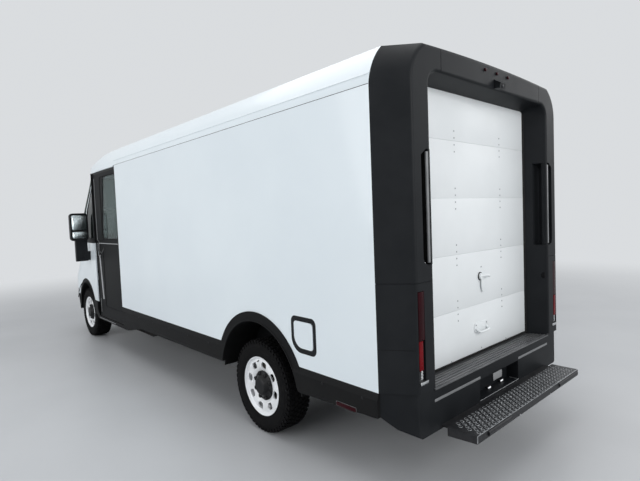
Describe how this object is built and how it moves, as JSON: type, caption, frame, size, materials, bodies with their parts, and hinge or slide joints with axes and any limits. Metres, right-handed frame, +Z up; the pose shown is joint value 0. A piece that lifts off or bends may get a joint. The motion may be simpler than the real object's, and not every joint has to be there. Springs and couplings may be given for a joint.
{
  "type": "electric cargo van",
  "caption": "Walk-in electric delivery van with a boxy load body, roll-up rear door, rear step, sliding side doors, steered front wheels and a charge flap.",
  "frame": {"origin": "on the ground under the middle of the van's overall length, on its centre plane", "axes": "+X forward towards the nose, +Y to the van's left, +Z up"},
  "size_m": [7.33, 2.7, 2.7589],
  "materials": {
    "battery_case": "satin",
    "body_white": "gloss",
    "cap_black": "satin",
    "chassis_steel": "satin",
    "glass": "gloss",
    "interior_grey": "matte",
    "lamp_clear": "gloss",
    "lamp_red": "gloss",
    "seat_fabric": "matte",
    "step_metal": "satin",
    "trim_black": "satin",
    "tyre": "matte",
    "wheel_white": "gloss"
  },
  "bodies": {
    "van_body": {"arch_liners": "trim_black", "battery": "battery_case", "bulkhead": "interior_grey", "bumper_front_lower": "trim_black", "bumper_front_upper": "body_white", "bumper_rear": "trim_black", "cab_frame": "trim_black", "cab_glass": "glass", "cab_roof": "body_white", "cargo_roof": "body_white", "charge_surround": "trim_black", "chassis_frame": "chassis_steel", "cladding_l": "trim_black", "cladding_r": "trim_black", "dashboard": "trim_black", "door_tracks": "chassis_steel", "driver_seat": "seat_fabric", "fenders": "body_white", "floor": "interior_grey", "front_lamps": "lamp_clear", "front_pillars": "body_white", "front_suspension": "chassis_steel", "grab_bars": "trim_black", "hood": "body_white", "mirrors": "trim_black", "nose_band": "trim_black", "rear_axle": "chassis_steel", "rear_frame": "trim_black", "rear_lamps": "lamp_red", "rear_step": "step_metal", "rollup_door": "body_white", "side_liners": "interior_grey", "side_panel_l": "body_white", "side_panel_r": "body_white", "threshold": "step_metal"},
    "side_door_l": {"side_door_l": "trim_black", "door_glass_l": "glass"},
    "side_door_r": {"side_door_r": "trim_black", "door_glass_r": "glass"},
    "charge_flap": {"charge_flap": "body_white"},
    "steering_wheel": {"steering_wheel": "trim_black"},
    "knuckle_fl": {"knuckle_fl": "chassis_steel"},
    "knuckle_fr": {"knuckle_fr": "chassis_steel"},
    "wheel_fl": {"tyre_fl": "tyre", "rim_fl": "wheel_white", "hub_cap_fl": "cap_black"},
    "wheel_fr": {"tyre_fr": "tyre", "rim_fr": "wheel_white", "hub_cap_fr": "cap_black"},
    "wheel_rl": {"tyre_rl": "tyre", "rim_rl": "wheel_white", "hub_cap_rl": "cap_black"},
    "wheel_rr": {"tyre_rr": "tyre", "rim_rr": "wheel_white", "hub_cap_rr": "cap_black"}
  },
  "joints": [
    {"name": "steer_left", "type": "hinge", "parent": "van_body", "child": "knuckle_fl", "pos_m": [2.689, 0.882, 0.372], "axis": [0, 0, 1], "range_deg": [-35, 35]},
    {"name": "steer_right", "type": "hinge", "parent": "van_body", "child": "knuckle_fr", "pos_m": [2.689, -0.882, 0.372], "axis": [0, 0, 1], "range_deg": [-35, 35]},
    {"name": "steering_wheel_turn", "type": "hinge", "parent": "van_body", "child": "steering_wheel", "pos_m": [2.44, 0.45, 1.33], "axis": [-0.866, 0, 0.5], "range_deg": [-420, 420]},
    {"name": "spin_fl", "type": "hinge", "parent": "knuckle_fl", "child": "wheel_fl", "pos_m": [2.689, 0.962, 0.372], "axis": [0, 1, 0], "continuous": true},
    {"name": "spin_fr", "type": "hinge", "parent": "knuckle_fr", "child": "wheel_fr", "pos_m": [2.689, -0.962, 0.372], "axis": [0, 1, 0], "continuous": true},
    {"name": "spin_rl", "type": "hinge", "parent": "van_body", "child": "wheel_rl", "pos_m": [-1.951, 0.988, 0.372], "axis": [0, 1, 0], "continuous": true},
    {"name": "spin_rr", "type": "hinge", "parent": "van_body", "child": "wheel_rr", "pos_m": [-1.951, -0.988, 0.372], "axis": [0, 1, 0], "continuous": true},
    {"name": "side_door_l_slide", "type": "slide", "parent": "van_body", "child": "side_door_l", "axis": [-1, 0, 0], "range_m": [0, 0.86]},
    {"name": "side_door_r_slide", "type": "slide", "parent": "van_body", "child": "side_door_r", "axis": [-1, 0, 0], "range_m": [0, 0.86]},
    {"name": "charge_flap_hinge", "type": "hinge", "parent": "van_body", "child": "charge_flap", "pos_m": [-2.4433, 1.12, 0.8865], "axis": [0, 0, -1], "range_deg": [0, 100]}
  ],
  "couplings": [
    {"joint": "steer_right", "follows": "steer_left", "ratio": 1},
    {"joint": "steering_wheel_turn", "follows": "steer_left", "ratio": 12}
  ]
}
